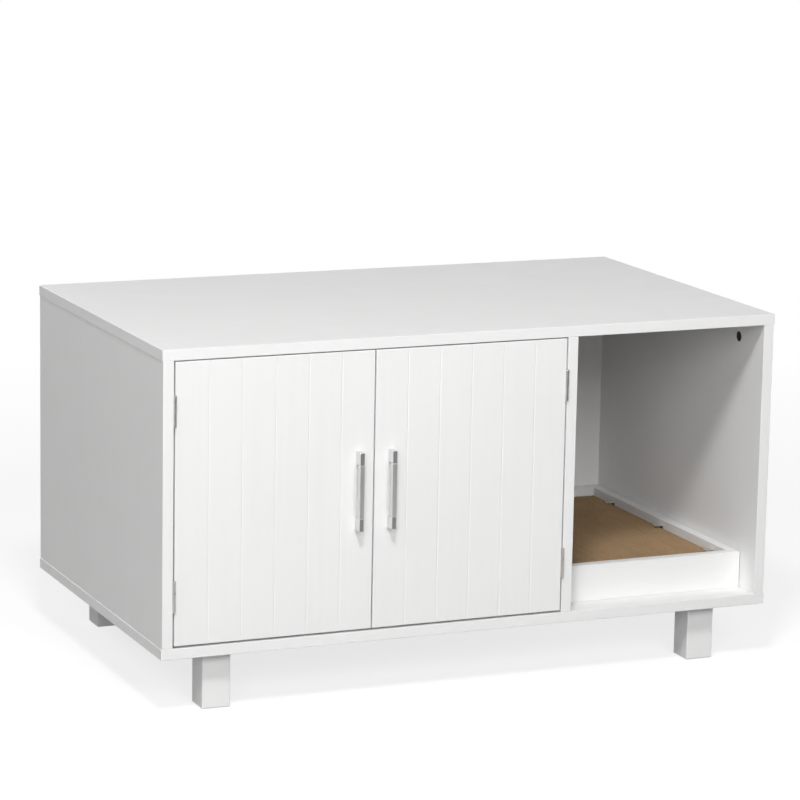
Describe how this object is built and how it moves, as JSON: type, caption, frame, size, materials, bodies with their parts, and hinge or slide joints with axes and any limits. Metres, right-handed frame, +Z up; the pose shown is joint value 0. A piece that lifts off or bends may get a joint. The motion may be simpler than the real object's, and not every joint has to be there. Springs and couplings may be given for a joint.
{
  "type": "cat litter box cabinet",
  "caption": "Low white cabinet on square legs: hinged plank doors hide a litter bay, and an open side bay holds a pull-out tray with a cardboard scratching pad.",
  "frame": {"origin": "on the floor, under the middle of the box around the whole cabinet with its handles", "axes": "+X to the right along the cabinet's width as seen from its front, +Y towards its back, +Z up; the doors and the open bay face -Y"},
  "size_m": [0.9, 0.546, 0.495],
  "materials": {
    "white_board": "satin",
    "white_sheet": "satin",
    "white_door": "satin",
    "white_tray": "satin",
    "white_leg": "satin",
    "hardboard": "matte",
    "dowel_beech": "matte",
    "corrugated_card": "matte",
    "hinge_steel": "satin",
    "fastener_steel": "satin",
    "strike_steel": "satin",
    "clip_steel": "polished",
    "handle_satin": "satin",
    "handle_chrome": "polished",
    "cam_zinc": "matte",
    "catch_plastic": "matte",
    "magnet_ferrite": "matte",
    "glide_plastic": "matte"
  },
  "bodies": {
    "cabinet": {"back_panel": "white_sheet", "bottom_panel": "white_board", "cam_bolts": "cam_zinc", "cam_discs": "cam_zinc", "catch_magnets": "magnet_ferrite", "catch_screws": "fastener_steel", "divider_panel": "white_board", "frame_hinge_screws": "fastener_steel", "front_left_leg": "white_leg", "front_right_leg": "white_leg", "left_catch_housing": "catch_plastic", "left_lower_hinge_frame_leaf": "hinge_steel", "left_lower_hinge_pin": "hinge_steel", "left_side_panel": "white_board", "left_upper_hinge_frame_leaf": "hinge_steel", "left_upper_hinge_pin": "hinge_steel", "leg_bolts": "fastener_steel", "leg_glides": "glide_plastic", "leg_inserts": "fastener_steel", "panel_dowels": "dowel_beech", "rear_left_leg": "white_leg", "rear_right_leg": "white_leg", "right_catch_housing": "catch_plastic", "right_lower_hinge_frame_leaf": "hinge_steel", "right_lower_hinge_pin": "hinge_steel", "right_side_panel": "white_board", "right_upper_hinge_frame_leaf": "hinge_steel", "right_upper_hinge_pin": "hinge_steel", "top_panel": "white_board"},
    "left_door": {"left_door": "white_door", "left_door_hinge_screws": "fastener_steel", "left_handle_bar": "handle_satin", "left_handle_lower_post": "handle_chrome", "left_handle_screws": "fastener_steel", "left_handle_upper_post": "handle_chrome", "left_lower_hinge_door_leaf": "hinge_steel", "left_strike_plate": "strike_steel", "left_strike_screw": "fastener_steel", "left_upper_hinge_door_leaf": "hinge_steel"},
    "right_door": {"right_door": "white_door", "right_door_hinge_screws": "fastener_steel", "right_handle_bar": "handle_satin", "right_handle_lower_post": "handle_chrome", "right_handle_screws": "fastener_steel", "right_handle_upper_post": "handle_chrome", "right_lower_hinge_door_leaf": "hinge_steel", "right_strike_plate": "strike_steel", "right_strike_screw": "fastener_steel", "right_upper_hinge_door_leaf": "hinge_steel"},
    "scratching_tray": {"pad_clip_screws": "fastener_steel", "pad_clips": "clip_steel", "scratch_pad": "corrugated_card", "tray_base": "hardboard", "tray_dowels": "dowel_beech", "tray_front_board": "white_tray", "tray_left_board": "white_tray", "tray_rear_board": "white_tray", "tray_right_board": "white_tray"}
  },
  "joints": [
    {"name": "left_door_hinge", "type": "hinge", "parent": "cabinet", "child": "left_door", "pos_m": [-0.433, -0.2593, 0.288], "axis": [0, 0, -1], "range_deg": [0, 170]},
    {"name": "right_door_hinge", "type": "hinge", "parent": "cabinet", "child": "right_door", "pos_m": [0.131, -0.2593, 0.288], "axis": [0, 0, 1], "range_deg": [0, 90]},
    {"name": "scratching_tray_slide", "type": "slide", "parent": "cabinet", "child": "scratching_tray", "axis": [0, -1, 0], "range_m": [0, 0.45]}
  ]
}
